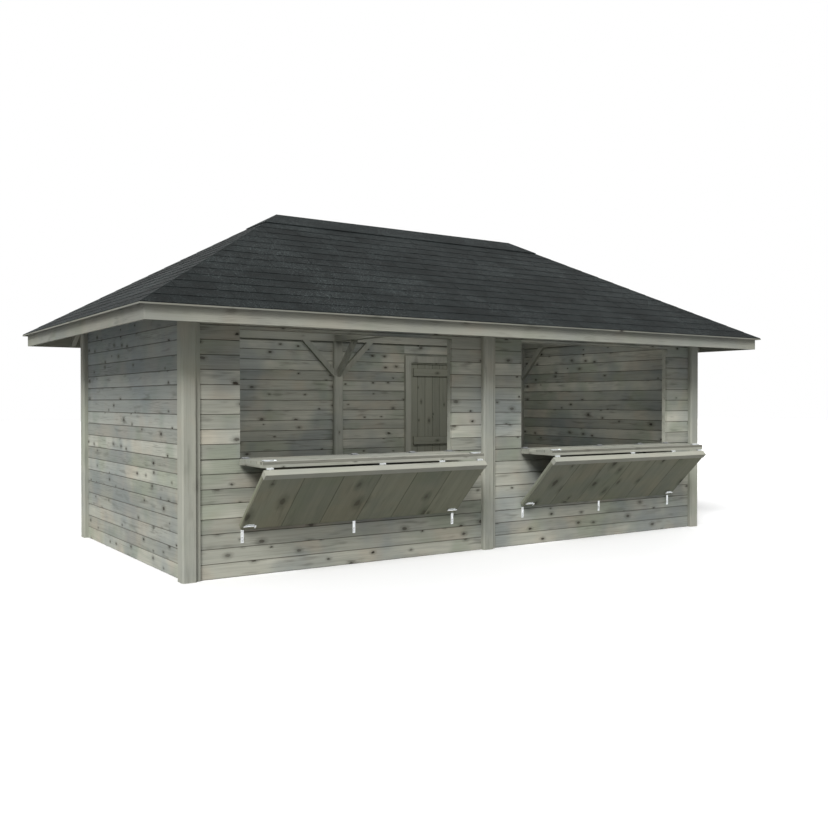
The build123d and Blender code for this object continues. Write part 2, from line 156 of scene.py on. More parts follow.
class Wire:
    """A node socket whose sums, products and quotients are written as Python expressions."""

    def __init__(self, graph, socket):
        self.graph = graph
        self.socket = socket

    def also(self, output):
        """Another output of the same node."""
        return Wire(self.graph, self.socket.node.outputs[output])

    def _join(self, operation, other, swapped=False):
        first, second = (other, self) if swapped else (self, other)
        is_vector = any(
            isinstance(item, tuple) or isinstance(item, Wire) and item.socket.type == "VECTOR"
            for item in (first, second)
        )
        kind = "ShaderNodeVectorMath" if is_vector else "ShaderNodeMath"
        if is_vector:
            first, second = (self.graph.as_vector(item) for item in (first, second))
        return self.graph.node(kind, {"operation": operation}, {0: first, 1: second})

    def __add__(self, other):
        return self._join("ADD", other)

    def __radd__(self, other):
        return self._join("ADD", other, True)

    def __sub__(self, other):
        return self._join("SUBTRACT", other)

    def __rsub__(self, other):
        return self._join("SUBTRACT", other, True)

    def __mul__(self, other):
        return self._join("MULTIPLY", other)

    def __rmul__(self, other):
        return self._join("MULTIPLY", other, True)

    def __truediv__(self, other):
        return self._join("DIVIDE", other)

    def __rtruediv__(self, other):
        return self._join("DIVIDE", other, True)


class Graph:
    """Adds nodes to a tree, each by one call that gives its type, settings and inputs."""

    def __init__(self, tree):
        self.tree = tree

    def as_vector(self, item):
        return (item, item, item) if isinstance(item, (int, float)) else item

    def node(self, kind, settings=None, inputs=None, output=0):
        """A node of one type: its settings are set first, then the values or wires of its inputs."""
        node = self.tree.nodes.new(kind)
        for name, value in (settings or {}).items():
            setattr(node, name, value)
        for key, value in (inputs or {}).items():
            if isinstance(value, Wire):
                self.tree.links.new(value.socket, node.inputs[key])
            else:
                node.inputs[key].default_value = value
        return Wire(self, node.outputs[output]) if node.outputs else None

    def math(self, operation, first, second=0.0):
        return self.node("ShaderNodeMath", {"operation": operation}, {0: first, 1: second})

    def clamp(self, value):
        return self.node("ShaderNodeClamp", {}, {0: value})

    def fade(self, value, start, end):
        """A smooth step of a value, from 0 at start to 1 at end."""
        settings = {"interpolation_type": "SMOOTHSTEP"}
        return self.node("ShaderNodeMapRange", settings, {0: value, 1: start, 2: end})

    def mix(self, factor, first, second, blend="MIX"):
        first, second = (item if isinstance(item, Wire) else (*item, 1) for item in (first, second))
        settings = {"data_type": "RGBA", "blend_type": blend}
        return self.node("ShaderNodeMix", settings, {0: factor, 6: first, 7: second}, 2)

    def split(self, vector):
        x = self.node("ShaderNodeSeparateXYZ", {}, {0: vector})
        return x, x.also(1), x.also(2)

    def combine(self, x, y, z):
        return self.node("ShaderNodeCombineXYZ", {}, {0: x, 1: y, 2: z})

    def noise(self, vector, scale=1.0, detail=2.0, roughness=0.5):
        inputs = {"Vector": vector, "Scale": scale, "Detail": detail, "Roughness": roughness}
        return self.node("ShaderNodeTexNoise", {}, inputs)


# Materials

def new_material(name):
    surface = bpy.data.materials.new(name)
    surface.use_nodes = True
    surface.node_tree.nodes.clear()
    return surface, Graph(surface.node_tree)


def material(name):
    return bpy.data.materials[name]


def finish_surface(graph, colour, roughness, height, bump, metallic=0.0, shine=0.5):
    """The shader at the end of every material, with its bump in metres."""
    normal = graph.node("ShaderNodeBump", {}, {"Strength": 1.0, "Distance": bump, "Height": height})
    shader = graph.node("ShaderNodeBsdfPrincipled", {}, {
        "Base Color": colour,
        "Roughness": roughness,
        "Metallic": metallic,
        "Specular IOR Level": shine,
        "Normal": normal,
    })
    graph.node("ShaderNodeOutputMaterial", {}, {"Surface": shader})


def object_point(graph):
    return graph.node("ShaderNodeTexCoord", {}, {}, "Object")


def attribute(graph, name, output):
    return graph.node("ShaderNodeAttribute", {"attribute_name": name}, {}, output)


# Outputs of an attribute's node
VECTOR_OUTPUT = 1
NUMBER_OUTPUT = 2


def grain_along(graph, point, way):
    """The point as metres along, across and through the grain, for timbers that run one way.

    Rafters run down their slope: along Y in the middle of the roof, and along X at its ends."""
    x, y, z = graph.split(point)
    if way == "X":
        return graph.combine(x, z, y)
    if way == "Y":
        return graph.combine(y, z, x)
    if way == "Z":
        return graph.combine(z, x, y)
    on_end = graph.math("GREATER_THAN", graph.math("ABSOLUTE", x) - RIDGE_HALF, graph.math("ABSOLUTE", y))
    along = x * on_end + y * (1 - on_end)
    across = y * on_end + x * (1 - on_end)
    return graph.combine(along, across, z)


def knot_masks(graph, grain, way, amount, size):
    """Masks of the knots, with a ragged edge, and of the darker ring of grain about each."""
    if way == "boards":
        # Flat cells, so that every knot reaches the face of its board
        dimensions, spacing, share = "2D", (4.6 / size, 8.2 / size, 1.0), 0.42
    else:
        dimensions, spacing, share = "3D", (3.2, 6.0, 6.0), 0.85
    cells = graph.node("ShaderNodeTexVoronoi", {"voronoi_dimensions": dimensions}, {
        "Vector": grain * spacing,
        "Scale": 1.0,
    }, "Distance")
    chance, girth, depth = graph.split(cells.also("Color"))
    kept = graph.math("LESS_THAN", chance, share * amount)
    ragged = graph.noise(grain, 55.0 / size, 2.0) - 0.5
    distance = (cells + ragged * 0.11) / (0.040 + girth * 0.070)
    knot = graph.fade(distance, 1.4, 0.7) * kept * (0.45 + depth * 0.5)
    return knot, graph.fade(distance, 3.6, 0.9) * kept


def wood(
    name, way="boards", tone=1.0, patches=1.0, knots=1.0, knot_size=1.0,
    contrast=1.0, seam_and_shadow=0.5, variety=1.0, tint=1.0, eave_shade_and_weather=0.0,
):
    """Weathered softwood: streaks and knots along the grain, and patches over the whole object.

    way is boards, for pieces whose boards carry their own grain, or the way a timber runs. tone is the
    brightness and tint the share of blue that is left. seam_and_shadow is the strength of the joints between
    boards, and of the painted shadow at the edges of the door's ledges, variety how far boards differ, and
    eave_shade_and_weather the strength of the painted shade of the eaves, cold and dark and partly
    weathering, on the upper outside of the end walls."""
    _, graph = new_material(name)
    shade = colours()
    point = object_point(graph)
    if way == "boards":
        flat = attribute(graph, "grain", VECTOR_OUTPUT)
        board = attribute(graph, "board", NUMBER_OUTPUT)
        grain = flat + graph.combine(board * 41.0, board * 13.0, board * 7.0)
    else:
        grain = grain_along(graph, point, way)
        board = graph.noise(point, 0.7, 0.0)
    knot, halo = knot_masks(graph, grain, way, knots, knot_size)

    # The grain wanders, and bends about the knots
    warp = graph.noise(grain * (1.1, 3.0, 3.0), 1.0, 1.0) - 0.5
    bent = grain + graph.combine(0.0, warp * 0.03 + halo * 0.006, warp * 0.02)
    bands = graph.noise(bent * (0.7, 15.0, 15.0), 1.0, 2.0)
    streaks = graph.noise(bent * (2.2, 90.0, 90.0), 1.0, 3.0, 0.65)
    smudge = graph.fade(graph.noise(bent * (2.6, 16.0, 16.0), 1.0, 2.0, 0.6), 0.56, 0.74)
    checks = graph.fade(graph.noise(bent * (3.0, 230.0, 230.0), 1.0, 1.0), 0.62, 0.72)
    checks = checks * graph.fade(graph.noise(grain * (0.9, 6.0, 6.0), 1.0, 1.0), 0.52, 0.66)

    # Grey to pale by band and board, then patches over the hut, then the dark marks of the grain
    paleness = graph.fade(bands, 0.32, 0.68) * 0.35 * contrast + board * 0.55 * variety
    colour = graph.mix(paleness, shade.grey, shade.pale)
    warm = graph.noise(point + graph.combine(board * 1.5, 0.0, board * 2.5), 2.1, 2.0)
    colour = graph.mix(graph.fade(warm, 0.50, 0.66) * 0.50 * patches, colour, shade.warm)
    green = graph.noise(point + graph.combine(4.0, board, 9.0), 1.9, 2.0)
    colour = graph.mix(graph.fade(green, 0.50, 0.66) * 0.55 * patches, colour, shade.green)
    cold = graph.noise(point, 1.25, 3.0, 0.6)
    colour = graph.mix(graph.fade(cold, 0.42, 0.66) * 0.55 * patches, colour, shade.cold)
    # Painted shade of the eaves, with some weathering: the outside of the end walls turns colder and darker
    # upwards.
    if eave_shade_and_weather:
        x, _, z = graph.split(point)
        outside = graph.math("GREATER_THAN", graph.math("ABSOLUTE", x), END_MIDDLE)
        colour = graph.mix(graph.fade(z, 0.75, 1.5) * outside * eave_shade_and_weather, colour, shade.cold)
    colour = graph.mix(graph.fade(streaks, 0.56, 0.36) * 0.16 * contrast, colour, shade.dark)
    colour = graph.mix(graph.clamp(smudge * 0.42 * contrast + halo * 0.40), colour, shade.dark)
    marks = graph.clamp(knot * (0.4 + 0.6 * contrast) + checks * 0.45 * contrast)
    colour = graph.mix(marks, colour, shade.knot)
    board_tone = (1.0 + (board - 0.5) * 0.20 * variety) * tone
    colour = graph.mix(1.0, colour, graph.combine(board_tone, board_tone, board_tone * tint), "MULTIPLY")
    # Dark joints at the boards' edges; on the door's ledges the same darkening is painted shadow above and
    # below each ledge.
    if way == "boards":
        _, across, _ = graph.split(flat)
        edge = graph.math("MINIMUM", across, attribute(graph, "wide", NUMBER_OUTPUT) - across)
        colour = graph.mix(graph.fade(edge, 0.0060, 0.0025) * seam_and_shadow, colour, shade.knot)
    height = streaks * 0.5 + bands * 0.3 - checks * 1.2 + knot * 0.25
    finish_surface(graph, colour, 0.74 + streaks * 0.2, height, 0.0010, shine=0.2)


def shingle_material(name, tabs=True):
    """Bitumen shingles: dark grit with light grains, weathered in clouds and tab by tab."""
    _, graph = new_material(name)
    shade = colours()
    point = object_point(graph)
    grit = graph.noise(point, 420.0, 1.0)
    coarse = graph.noise(point, 75.0, 2.0, 0.7)
    grains = graph.fade(grit, 0.58, 0.68) * 0.5 + graph.fade(coarse, 0.57, 0.66) * 0.5
    cloud = graph.fade(graph.noise(point, 1.5, 3.0, 0.6), 0.36, 0.66)
    tab = attribute(graph, "board", NUMBER_OUTPUT) if tabs else graph.noise(point, 2.6, 0.0)
    colour = graph.mix(grains * (0.30 + cloud * 0.65), shade.roofing, shade.roofing_light)
    blotch = graph.fade(graph.noise(point, 7.0, 3.0, 0.65), 0.35, 0.65)
    tone = 0.54 + tab * 0.28 + cloud * 0.22 + blotch * 0.34
    colour = graph.mix(1.0, colour, graph.combine(tone, tone, tone), "MULTIPLY")
    finish_surface(graph, colour, 0.88 + grains * 0.08, grit + coarse, 0.0012, shine=0.12)


def zinc_material(name):
    """Zinc plated steel with a faint spangle, dulled on the hinges along the sills and high on the door."""
    _, graph = new_material(name)
    point = object_point(graph)
    _, y, z = graph.split(point)
    # From just in front of the wall backwards, and from under the sill up
    worn = graph.fade(y, WALL_LOW.y - 0.12, WALL_LOW.y - 0.10) * graph.fade(z, 0.85, 0.90)
    spangle = graph.noise(point, 140.0, 1.0)
    dull = graph.noise(point, 22.0, 2.0)
    colour = graph.mix(graph.fade(dull, 0.45, 0.75) * 0.25, colours().zinc, colours().grey)
    tone = 1.0 - worn * 0.55
    colour = graph.mix(1.0, colour, graph.combine(tone, tone, tone), "MULTIPLY")
    finish_surface(graph, colour, 0.26 + dull * 0.2 + worn * 0.3, spangle, 0.0002, metallic=1.0)


def finish_nodes(surface, *names):
    """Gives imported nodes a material."""
    for name in names:
        for slot in NODES[name].material_slots:
            slot.material = surface


# Meshes

# Width given to timbers that show no joint at their edges
SEAMLESS = 20.0


class Solids:
    """Gathers closed prisms with the grain, the tone and the width of their boards."""

    def __init__(self):
        self.points = []
        self.faces = []
        self.grain = []
        self.board = []
        self.wide = []

    def add_prism(self, low, high, grain_low, grain_high, board=0.5, wide=1.0):
        """A prism between two loops of points that run anticlockwise seen from the high loop."""
        start = len(self.points)
        count = len(low)
        self.points += [*low, *high]
        self.grain += [*grain_low, *grain_high]
        self.board += [board] * (2 * count)
        self.wide += [wide] * (2 * count)
        self.faces += prism_faces(count, start)

    def to_object(self, name, surface):
        mesh = bpy.data.meshes.new(name)
        mesh.from_pydata(self.points, [], self.faces)
        grain = mesh.attributes.new("grain", "FLOAT_VECTOR", "POINT")
        grain.data.foreach_set("vector", [value for point in self.grain for value in point])
        for label, values in (("board", self.board), ("wide", self.wide)):
            mesh.attributes.new(label, "FLOAT", "POINT").data.foreach_set("value", values)
        mesh.materials.append(surface)
        mesh.update()
        return link_object(bpy.data.objects.new(name, mesh))


def prism_faces(count, start=0):
    """The faces of a prism whose low loop of points comes first, and its high loop next."""
    faces = [[start + index for index in reversed(range(count))]]
    faces.append([start + count + index for index in range(count)])
    for index in range(count):
        after = (index + 1) % count
        faces.append([start + index, start + after, start + count + after, start + count + index])
    return faces


def link_object(item):
    bpy.context.scene.collection.objects.link(item)
    return item


def clipped(loop, edges):
    """A convex loop cut by half planes, each a point and an inward way."""
    for (px, py), (nx, ny) in edges:
        kept = []
        for index, here in enumerate(loop):
            there = loop[(index + 1) % len(loop)]
            inside = (here[0] - px) * nx + (here[1] - py) * ny
            beyond = (there[0] - px) * nx + (there[1] - py) * ny
            if inside >= 0:
                kept.append(here)
            if inside * beyond < 0:
                share = inside / (inside - beyond)
                kept.append(tuple(a + (b - a) * share for a, b in zip(here, there)))
        loop = kept
    return loop


def settle(item, body, slot_name, *replaced):
    """Hangs a finished piece on the body that it rides on and hides the nodes that it stands for. slot_name,
    the finish, is not used.
    """
    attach(item, body)
    if replaced:
        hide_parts(*replaced)


# Geometry Nodes

def new_tree(name, inputs):
    """A geometry tree with its named inputs, and the wires of those inputs by name."""
    tree = bpy.data.node_groups.new(name, "GeometryNodeTree")
    inputs = {"Geometry": "Geometry", **inputs}
    for label, kind in inputs.items():
        tree.interface.new_socket(label, in_out="INPUT", socket_type=f"NodeSocket{kind}")
    tree.interface.new_socket("Geometry", in_out="OUTPUT", socket_type="NodeSocketGeometry")
    graph = Graph(tree)
    given = graph.node("NodeGroupInput")
    return graph, {label: given.also(label) for label in inputs}


def end_tree(graph, geometry, surface):
    """Realizes the instances and sets their material, as the last nodes of a tree."""
    real = graph.node("GeometryNodeRealizeInstances", {}, {"Geometry": geometry})
    finished = graph.node("GeometryNodeSetMaterial", {}, {"Geometry": real, "Material": surface})
    graph.node("NodeGroupOutput", {}, {"Geometry": finished})


def store(graph, geometry, name, value, kind="FLOAT"):
    settings = {"data_type": kind, "domain": "POINT"}
    inputs = {"Geometry": geometry, "Name": name, "Value": value}
    return graph.node("GeometryNodeStoreNamedAttribute", settings, inputs)


def course_tree():
    """Stacks the board that the object holds in courses from one height to another."""
    graph, given = new_tree("Board courses", {
        "Length": "Float",
        "Thickness": "Float",
        "Cover": "Float",
        "Start": "Float",
        "End": "Float",
        "Seed": "Int",
        "Material": "Material",
    })
    cover, start, end = given["Cover"], given["Start"], given["End"]
    # A panel that starts or ends this share of a board past a joint gets no sliver there
    nearly = 0.001
    first = graph.math("FLOOR", start / cover + nearly)
    count = graph.math("CEIL", end / cover - nearly) - first
    line = graph.node("GeometryNodeMeshLine", {}, {"Count": count, "Offset": (0, 0, 0)})
    row = graph.node("GeometryNodeInputIndex") + first
    low = graph.math("MAXIMUM", row * cover, start)
    high = graph.math("MINIMUM", (row + 1) * cover, end)
    place = graph.combine(0.0, 0.0, (low + high) / 2)
    placed = graph.node("GeometryNodeSetPosition", {}, {"Geometry": line, "Position": place})
    placed = store(graph, placed, "low", low)
    placed = store(graph, placed, "wide", high - low)
    chance = graph.node("FunctionNodeRandomValue", {"data_type": "FLOAT"}, {"Seed": given["Seed"]}, 1)
    placed = store(graph, placed, "board", chance)
    boards = graph.node("GeometryNodeInstanceOnPoints", {}, {
        "Points": placed,
        "Instance": given["Geometry"],
        "Scale": graph.combine(given["Length"], given["Thickness"], high - low),
    })
    # The grain is measured along the board, up from its own lower edge and through it
    real = graph.node("GeometryNodeRealizeInstances", {}, {"Geometry": boards})
    x, y, z = graph.split(graph.node("GeometryNodeInputPosition"))
    board_low = graph.node("GeometryNodeInputNamedAttribute", {"data_type": "FLOAT"}, {"Name": "low"})
    grain = graph.combine(x, z - board_low, y)
    end_tree(graph, store(graph, real, "grain", grain, "FLOAT_VECTOR"), given["Material"])


def screw_tree():
    """Puts a low dome on every point of the object, turned to the way stored on the point."""
    graph, given = new_tree("Screw heads", {
        "Radius": "Float",
        "Height": "Float",
        "Seed": "Int",
        "Material": "Material",
    })
    head = graph.node("GeometryNodeMeshCone", {}, {
        "Vertices": 8,
        "Radius Top": given["Radius"] * 0.6,
        "Radius Bottom": given["Radius"],
        "Depth": given["Height"],
    })
    aim = graph.node("GeometryNodeInputNamedAttribute", {"data_type": "FLOAT_VECTOR"}, {"Name": "aim"})
    turn = graph.node("FunctionNodeAlignRotationToVector", {"axis": "Z"}, {"Vector": aim})
    spin = graph.node("FunctionNodeRandomValue", {"data_type": "FLOAT"}, {"Seed": given["Seed"]}, 1)
    spun = graph.node("FunctionNodeRotateRotation", {"rotation_space": "LOCAL"}, {
        0: turn,
        1: graph.node("FunctionNodeEulerToRotation", {}, {0: graph.combine(0.0, 0.0, spin * 2 * pi)}),
    })
    heads = graph.node("GeometryNodeInstanceOnPoints", {}, {
        "Points": given["Geometry"],
        "Instance": head,
        "Rotation": spun,
    })
    end_tree(graph, heads, given["Material"])


def run_tree(item, tree, values):
    """Runs a tree on an object with inputs given by name, and leaves its result as a plain mesh."""
    modifier = item.modifiers.new(tree.name, "NODES")
    modifier.node_group = tree
    keys = {entry.name: entry.identifier for entry in tree.interface.items_tree if entry.in_out == "INPUT"}
    for name, value in values.items():
        modifier[keys[name]] = value
    evaluated = item.evaluated_get(bpy.context.evaluated_depsgraph_get())
    result = bpy.data.meshes.new_from_object(evaluated)
    item.modifiers.remove(modifier)
    # The object's own empty slot comes before the one that the tree sets
    if not result.materials[0]:
        result.materials.pop(index=0)
    item.data = result
    result.name = item.name


def board_mesh(cover, thickness, chamfer):
    """One board of unit size with chamfers that come out true at this cover and thickness."""
    y, z = chamfer / thickness, chamfer / cover
    half = 0.5
    loop = [
        (-half, -half + z), (-half + y, -half), (half - y, -half), (half, -half + z),
        (half, half - z), (half - y, half), (-half + y, half), (-half, half - z),
    ]
    mesh = bpy.data.meshes.new("board")
    mesh.from_pydata([(x, y, z) for x in (-half, half) for y, z in loop], [], prism_faces(len(loop)))
    return mesh


def board_panel(length, thickness, start, end, cover, surface, seed, place, chamfer):
    """A panel of boards along X, stacked up Z and centred on Y, moved by the matrix place."""
    panel = link_object(bpy.data.objects.new("panel", board_mesh(cover, thickness, chamfer)))
    run_tree(panel, bpy.data.node_groups["Board courses"], {
        "Length": length,
        "Thickness": thickness,
        "Cover": cover,
        "Start": start,
        "End": end,
        "Seed": seed,
        "Material": surface,
    })
    panel.data.transform(place)
    return panel


def joined(name, parts):
    """One piece made of several, with their attributes kept."""
    first = parts[0]
    if len(parts) > 1:
        with bpy.context.temp_override(active_object=first, selected_editable_objects=parts):
            bpy.ops.object.join()
    first.name = name
    first.data.name = name
    return first


def wall_panels(rectangles, middle, turn, surface, seed):
    """Boards for rectangles of wall, each from one place along it to another and between two heights."""
    size = sizes()
    panels = []
    for number, (low, high, bottom, top) in enumerate(rectangles):
        place = turn @ Matrix.Translation((0, middle, 0)) @ Matrix.Translation(((low + high) / 2, 0, 0))
        panels.append(board_panel(
            high - low, WALL_THICKNESS, bottom, top, size.board_cover,
            surface, seed + number, place, size.board_chamfer,
        ))
    return panels


# Pieces

class HUT_OT_trees(bpy.types.Operator):
    """Make the node trees and the materials that the pieces share"""

    bl_idname = "hut.trees"
    bl_label = "Trees and materials"
    bl_options = {"REGISTER", "UNDO"}

    def execute(self, context):
        course_tree()
        screw_tree()
        wood("wall boards")
        # The end walls carry the painted shade of the eaves on their upper outside.
        wood("end wall boards", eave_shade_and_weather=0.5)
        # The leaf boards' low tone is painted shade: the support leaves' boards and rails face down, away
        # from the light.
        wood(
            "leaf boards", tone=0.74, patches=0.6, knots=1.9, knot_size=2.0,
            contrast=0.5, seam_and_shadow=0.4, variety=0.3, tint=0.88,
        )
        wood("counter boards", tone=0.88, patches=0.3, contrast=0.5)
        wood("leaf frames", tone=0.86, patches=0.3, contrast=0.4)
        wood("door boards", tone=0.86, patches=0.2, contrast=0.5, seam_and_shadow=0.4, variety=0.4, tint=0.95)
        wood("roof boards", tone=0.62, patches=0.3)
        wood("post timber", "Z", tone=0.96, knots=0.5, patches=0.5, contrast=0.6)
        wood("timber along X", "X", tone=0.95, knots=0.6, patches=0.4, contrast=0.8)
        wood("timber along Y", "Y", tone=0.95, knots=0.6, patches=0.4, contrast=0.8)
        wood("rafter timber", "slopes", tone=0.75, knots=0.6, patches=0.3)
        wood("fascia along X", "X", tone=0.86, knots=0.35, patches=0.5, contrast=0.6)
        # The end fascias' lower tone than the long ones is painted shade on the ends of the hut.
        wood("fascia along Y", "Y", tone=0.70, knots=0.35, patches=0.5, contrast=0.6)
        shingle_material("shingles")
        shingle_material("ridge roofing", tabs=False)
        zinc_material("zinc steel")
        return {"FINISHED"}


class HUT_OT_frame_finish(bpy.types.Operator):
    """Finish the posts, plates, rafters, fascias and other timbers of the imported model"""

    bl_idname = "hut.frame_finish"
    bl_label = "Timber finishes"
    bl_options = {"REGISTER", "UNDO"}

    def execute(self, context):
        upright = ("front_posts", "back_posts", "braces", "door_frame", "cover_battens")
        finish_nodes(material("post timber"), *upright)
        lengthwise = ("long_wall_plates", "hatch_frames", "ridge_board", "hip_rafters")
        finish_nodes(material("timber along X"), *lengthwise)
        finish_nodes(material("timber along Y"), "end_wall_plates", "tie_beam")
        finish_nodes(material("rafter timber"), "rafters")
        finish_nodes(material("fascia along X"), "long_fascias")
        finish_nodes(material("fascia along Y"), "end_fascias")
        finish_nodes(material("ridge roofing"), "ridge_cap")
        metal = ["wall_fittings", "door_hinge_plates", "door_fittings"]
        metal += [f"{bay}_{part}_fittings" for bay in BAYS for part in ("counter", "support")]
        finish_nodes(material("zinc steel"), *metal)
        return {"FINISHED"}


class HUT_OT_walls(bpy.types.Operator):
    """Board the four walls, beside and over the hatches and the door"""

    bl_idname = "hut.walls"
    bl_label = "Wall boards"
    bl_options = {"REGISTER", "UNDO"}

    def execute(self, context):
        seed = sizes().seed
        boards = material("wall boards")
        straight = Matrix.Identity(4)
        front_middle = (WALL_LOW.y + WALL_HIGH.y) / 2
        sill = WALL_HIGH.z
        head = OVER_LOW.z
        front = []
        for bay, low, high in (("left", WALL_LOW, WALL_HIGH), ("right", RIGHT_WALL_LOW, RIGHT_WALL_HIGH)):
            opening_low, opening_high = hatch_opening(bay)
            front += [
                (low.x, high.x, 0, sill),
                (low.x, opening_low, sill, WALL_TOP),
                (opening_high, high.x, sill, WALL_TOP),
                (opening_low, opening_high, head, WALL_TOP),
            ]
        piece = joined("front_boards", wall_panels(front, front_middle, straight, boards, seed))
        replaced = [f"front_wall_{bay}_{part}" for bay in BAYS for part in ("lower", "beside_hatch")]
        settle(piece, "hut", "wall_boards", *replaced, "front_wall_over_hatches")

        back_middle = (BACK_LOW.y + BACK_HIGH.y) / 2
        back = [
            (BACK_LOW.x, BACK_HIGH.x, 0, WALL_TOP),
            (BACK_RIGHT_LOW.x, DOOR_HEAD_LOW.x, 0, WALL_TOP),
            (DOOR_HEAD_HIGH.x, BACK_RIGHT_HIGH.x, 0, WALL_TOP),
            (DOOR_HEAD_LOW.x, DOOR_HEAD_HIGH.x, DOOR_HEAD_LOW.z, WALL_TOP),
        ]
        piece = joined("back_boards", wall_panels(back, back_middle, straight, boards, seed + 20))
        settle(piece, "hut", "wall_boards", "back_wall_left", "back_wall_beside_door", "back_wall_over_door")

        quarter = Matrix.Rotation(pi / 2, 4, "Z")
        ends = [(END_LOW.y, END_HIGH.y, 0, WALL_TOP)]
        boards = material("end wall boards")
        for side, middle in (("left", END_MIDDLE), ("right", -END_MIDDLE)):
            piece = joined(f"{side}_wall_boards", wall_panels(ends, middle, quarter, boards, seed + 40))
            settle(piece, "hut", "wall_boards", f"{side}_wall")
        return {"FINISHED"}


def hatch_opening(bay):
    """The hatch opening's two ends along X.

    The wall over the hatches reaches from the left opening's outer end to the right one's."""
    middle = (COUNTERS[bay][0].x + COUNTERS[bay][1].x) / 2
    half = (OVER_HIGH.x - OVER_LOW.x - (COUNTERS["right"][0].x - COUNTERS["left"][0].x)) / 2
    return middle - half, middle + half


class Slope:
    """One roof slope: its peak, its way down, the way off it and the way along it."""

    def __init__(self, side, drop):
        turns = {"front": 0, "back": pi, "left": -pi / 2, "right": pi / 2}
        turn = Matrix.Rotation(turns[side], 4, "Z")
        self.half_ridge = RIDGE_HALF if side in ("front", "back") else 0.0
        shift = {"left": -RIDGE_HALF, "right": RIDGE_HALF}.get(side, 0.0)
        self.peak = Vector((shift, 0, RIDGE_HEIGHT - drop))
        self.down = turn @ Vector((0, -cos(ROOF_PITCH), -sin(ROOF_PITCH)))
        self.off = turn @ Vector((0, -sin(ROOF_PITCH), cos(ROOF_PITCH)))
        self.along = turn @ Vector((1, 0, 0))

    def point(self, along, down, off):
        return self.peak + self.along * along + self.down * down + self.off * off

    def cut_at_hips(self, loop, spare=0.0):
        """A loop on the slope cut at the two hips, which are moved outward by spare."""
        reach = self.half_ridge + spare
        hips = [((-reach, 0), (1, cos(ROOF_PITCH))), ((reach, 0), (-1, cos(ROOF_PITCH)))]
        return clipped(loop, hips)

    def add_piece(self, solids, loop, low, high, board, wide=1.0, wide_start=0.0, head=0.0, rise=0.0):
        """Adds a flat piece of the slope, from low to high off it, whose top rises by rise from head down."""
        tops = [high + (down - head) * rise for _, down in loop]
        solids.add_prism(
            [self.point(along, down, low) for along, down in loop],
            [self.point(along, down, top) for (along, down), top in zip(loop, tops)],
            [(along, down - wide_start, low) for along, down in loop],
            [(along, down - wide_start, top) for (along, down), top in zip(loop, tops)],
            board, wide,
        )


class HUT_OT_shingles(bpy.types.Operator):
    """Lay the shingles in courses on the four slopes, each course shifted by chance"""

    bl_idname = "hut.shingles"
    bl_label = "Shingles"
    bl_options = {"REGISTER", "UNDO"}

    def execute(self, context):
        draw = random.Random(sizes().seed)
        for side in SLOPES:
            solids = Solids()
            self.cover(Slope(side, 0.0), solids, draw)
            piece = solids.to_object(f"{side}_shingles", material("shingles"))
            settle(piece, "hut", "bitumen_shingles", f"roofing_{side}")
        return {"FINISHED"}

    def cover(self, slope, solids, draw):
        """Adds the layer under the shingles of one slope and its tabs, course by course."""
        size = sizes()
        side_play, foot_play, lift_play, hip_spare = 0.006, 0.004, 0.0010, 0.002
        length = ROOF_RUN / cos(ROOF_PITCH)
        layer = (ROOF_LOW.z - ROOF_EDGE_TOP) * cos(ROOF_PITCH)
        base = -size.shingle_butt - 0.001
        reach = slope.half_ridge + ROOF_RUN
        ground = slope.cut_at_hips([(-reach, length), (reach, length), (reach, 0), (-reach, 0)])
        slope.add_piece(solids, ground, layer, base, 0.2)
        tab_count = ceil(reach / size.shingle_tab) + 1
        for course in range(ceil(length / size.shingle_course)):
            butt = length - course * size.shingle_course
            head = max(butt - size.shingle_course, 0.0)
            shift = draw.uniform(0, size.shingle_tab)
            for tab in range(-tab_count, tab_count):
                start = tab * size.shingle_tab + shift + draw.uniform(-side_play, side_play)
                foot = butt - draw.uniform(0.0, foot_play)
                end = (tab + 1) * size.shingle_tab + shift - size.shingle_slot
                lift = draw.uniform(0.0, lift_play)
                tone = draw.random()
                loop = [(start, foot), (end, foot), (end, head), (start, head)]
                loop = slope.cut_at_hips(loop, hip_spare)
                if len(loop) > 2:
                    rise = (size.shingle_butt - 0.0005 + lift) / size.shingle_course
                    slope.add_piece(solids, loop, base - 0.001, base + 0.0004, tone, head=head, rise=rise)


class HUT_OT_roof_boards(bpy.types.Operator):
    """Lay the roof boards under the shingles, from the eaves up to the ridge"""

    bl_idname = "hut.roof_boards"
    bl_label = "Roof boards"
    bl_options = {"REGISTER", "UNDO"}

    def execute(self, context):
        size = sizes()
        draw = random.Random(size.seed + 1)
        clear = -0.0002
        run = -BOARDING_LOW.y
        length = run / cos(ROOF_PITCH)
        for side in SLOPES:
            slope = Slope(side, ROOF_EDGE_TOP - ROOF_LOW.z)
            solids = Solids()
            reach = slope.half_ridge + run
            for row in range(ceil(length / size.roof_board)):
                foot = length - row * size.roof_board
                head = max(foot - size.roof_board + size.roof_board_gap, 0.0)
                loop = slope.cut_at_hips([(-reach, foot), (reach, foot), (reach, head), (-reach, head)])
                if len(loop) > 2:
                    under = -size.roof_board_thickness
                    slope.add_piece(solids, loop, under, clear, draw.random(), foot - head, head)
            piece = solids.to_object(f"{side}_roof_boards", material("roof boards"))
            settle(piece, "hut", "roof_boards", f"roof_boarding_{side}")
        return {"FINISHED"}


